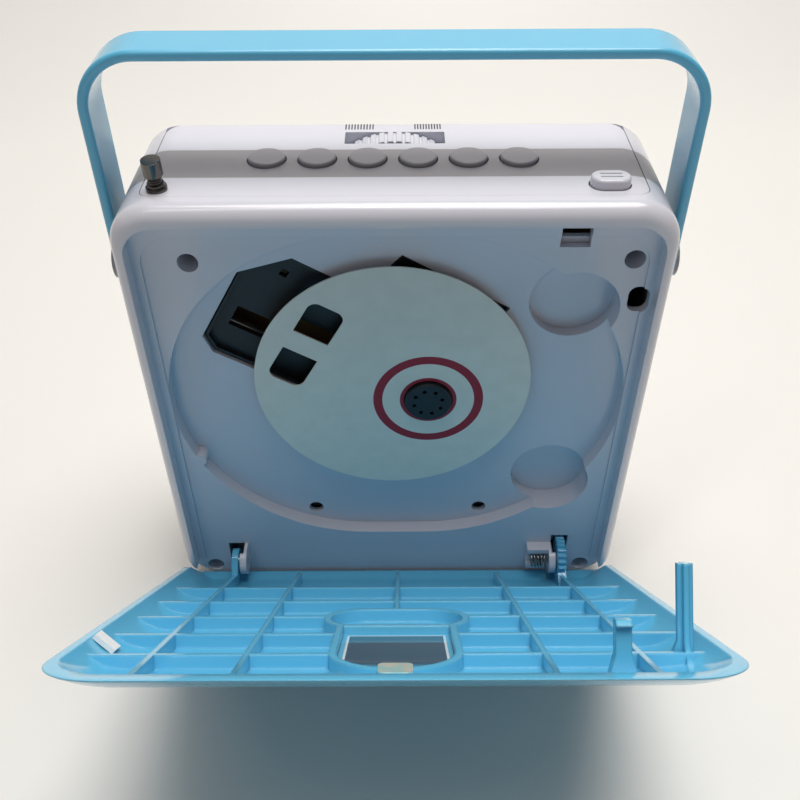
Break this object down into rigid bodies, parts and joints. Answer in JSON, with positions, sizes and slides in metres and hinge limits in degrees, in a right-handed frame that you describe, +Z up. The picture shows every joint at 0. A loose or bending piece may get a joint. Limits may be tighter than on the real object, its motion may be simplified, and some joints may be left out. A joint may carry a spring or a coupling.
{
  "type": "portable cd radio",
  "caption": "Portable disc player and radio stood upright, with a hinged lid standing open over the disc well, a carrying handle and keys along the top.",
  "frame": {"origin": "middle of the cabinet's footprint on the surface that it stands on, at the underside of the feet", "axes": "+X across the cabinet, to the right as seen from the lid side; +Y from the lid side to the speaker side; +Z up"},
  "size_m": [0.1714, 0.1651, 0.193],
  "materials": {
    "black_plastic": "matt black",
    "blue_plastic": "glossy sky blue",
    "card": "off-white card with printed rings",
    "circuit_board": "brown board",
    "clear_plastic": "clear window",
    "dark_chrome": "dark polished",
    "foam": "white foam",
    "foil": "silvery foil",
    "grey_plastic": "satin grey-mauve",
    "lens": "coated lens",
    "paper_cone": "black paper",
    "rubber_black": "black rubber",
    "steel": "bright steel",
    "white_plastic": "satin, faintly lavender white"
  },
  "bodies": {
    "cabinet": {"ac_inlet": "black_plastic", "aerial_base": "dark_chrome", "battery_box": "white_plastic", "battery_contacts": "steel", "button_board": "circuit_board", "button_switches": "black_plastic", "cd_chassis": "black_plastic", "centre_band": "grey_plastic", "control_panel": "white_plastic", "damper_body": "black_plastic", "dial_window": "clear_plastic", "display_window": "clear_plastic", "feet": "rubber_black", "front_cabinet": "white_plastic", "guide_rods": "steel", "handle_pivots": "grey_plastic", "headphone_jack": "black_plastic", "hinge_pins": "steel", "interlock_switch": "black_plastic", "lid_spring": "steel", "main_board": "circuit_board", "mech_grommets": "rubber_black", "panel_band": "grey_plastic", "rear_cabinet": "white_plastic", "sled_motor": "steel", "speaker_cones": "paper_cone", "speaker_frames": "steel", "spindle_motor": "steel", "transformer": "steel", "tuning_gang": "white_plastic", "volume_control": "black_plastic"},
    "lid_assembly": {"lid": "blue_plastic", "lid_window": "clear_plastic", "lid_foam_pad": "foam", "window_tab": "foil"},
    "damper": {"damper_gear": "white_plastic"},
    "handle": {"handle": "blue_plastic"},
    "open_key": {"open_button": "white_plastic", "latch_slider": "white_plastic"},
    "play_key": {"play_button": "grey_plastic"},
    "stop_key": {"stop_button": "grey_plastic"},
    "forward_key": {"forward_button": "grey_plastic"},
    "back_key": {"back_button": "grey_plastic"},
    "repeat_key": {"repeat_button": "grey_plastic"},
    "program_key": {"program_button": "grey_plastic"},
    "aerial_1": {"aerial_section_1": "dark_chrome"},
    "aerial_2": {"aerial_section_2": "dark_chrome"},
    "aerial_3": {"aerial_section_3": "dark_chrome"},
    "tuner": {"tuning_wheel": "grey_plastic"},
    "volume": {"volume_wheel": "grey_plastic"},
    "function": {"function_switch": "grey_plastic"},
    "door": {"battery_door": "white_plastic"},
    "turntable": {"turntable_hub": "black_plastic"},
    "pickup": {"pickup_sled": "black_plastic", "pickup_lens": "lens"},
    "card": {"protective_card": "card"}
  },
  "joints": [
    {"name": "lid_hinge", "type": "hinge", "parent": "cabinet", "child": "lid_assembly", "pos_m": [0, -0.026, 0.0135], "axis": [1, 0, 0], "range_deg": [-47.9, 0], "stiffness_Nm_per_rad": 0.01},
    {"name": "damper_gear_spin", "type": "hinge", "parent": "cabinet", "child": "damper", "pos_m": [0.0592, -0.01439, 0.01772], "axis": [1, 0, 0], "range_deg": [0, 104]},
    {"name": "handle_hinge", "type": "hinge", "parent": "cabinet", "child": "handle", "pos_m": [0, 0, 0.127], "axis": [1, 0, 0], "range_deg": [-90, 90]},
    {"name": "open_press", "type": "slide", "parent": "cabinet", "child": "open_key", "axis": [0, 0, -1], "range_m": [0, 0.002], "stiffness_N_per_m": 300},
    {"name": "play_press", "type": "slide", "parent": "cabinet", "child": "play_key", "axis": [0, 0, -1], "range_m": [0, 0.0008], "stiffness_N_per_m": 400},
    {"name": "stop_press", "type": "slide", "parent": "cabinet", "child": "stop_key", "axis": [0, 0, -1], "range_m": [0, 0.0008], "stiffness_N_per_m": 400},
    {"name": "forward_press", "type": "slide", "parent": "cabinet", "child": "forward_key", "axis": [0, 0, -1], "range_m": [0, 0.0008], "stiffness_N_per_m": 400},
    {"name": "back_press", "type": "slide", "parent": "cabinet", "child": "back_key", "axis": [0, 0, -1], "range_m": [0, 0.0008], "stiffness_N_per_m": 400},
    {"name": "repeat_press", "type": "slide", "parent": "cabinet", "child": "repeat_key", "axis": [0, 0, -1], "range_m": [0, 0.0008], "stiffness_N_per_m": 400},
    {"name": "program_press", "type": "slide", "parent": "cabinet", "child": "program_key", "axis": [0, 0, -1], "range_m": [0, 0.0008], "stiffness_N_per_m": 400},
    {"name": "aerial_slide_1", "type": "slide", "parent": "cabinet", "child": "aerial_1", "axis": [0, -0.1132, 0.9936], "range_m": [0, 0.1]},
    {"name": "aerial_slide_2", "type": "slide", "parent": "aerial_1", "child": "aerial_2", "axis": [0, -0.1132, 0.9936], "range_m": [0, 0.1]},
    {"name": "aerial_slide_3", "type": "slide", "parent": "aerial_2", "child": "aerial_3", "axis": [0, -0.1132, 0.9936], "range_m": [0, 0.1]},
    {"name": "tuning_spin", "type": "hinge", "parent": "cabinet", "child": "tuner", "pos_m": [0, 0.0148, 0.1344], "axis": [0, 1, 0], "range_deg": [-85, 85]},
    {"name": "volume_spin", "type": "hinge", "parent": "cabinet", "child": "volume", "pos_m": [0.0692, 0.015, 0.098], "axis": [0, 1, 0], "range_deg": [-140, 140]},
    {"name": "function_slide", "type": "slide", "parent": "cabinet", "child": "function", "axis": [0, 0, 1], "range_m": [-0.0025, 0.0025]},
    {"name": "battery_door_slide", "type": "slide", "parent": "cabinet", "child": "door", "axis": [0, 0, -1], "range_m": [0, 0.03]},
    {"name": "turntable_spin", "type": "hinge", "parent": "cabinet", "child": "turntable", "pos_m": [0.0102, -0.0195, 0.086], "axis": [0, -1, 0], "continuous": true},
    {"name": "pickup_slide", "type": "slide", "parent": "cabinet", "child": "pickup", "axis": [-0.866, 0, 0.5], "range_m": [0, 0.027]},
    {"name": "card_lift", "type": "slide", "parent": "turntable", "child": "card", "axis": [0, -1, 0], "range_m": [0, 0.04]}
  ],
  "couplings": [
    {"joint": "damper_gear_spin", "follows": "lid_hinge", "ratio": -2.1667}
  ]
}
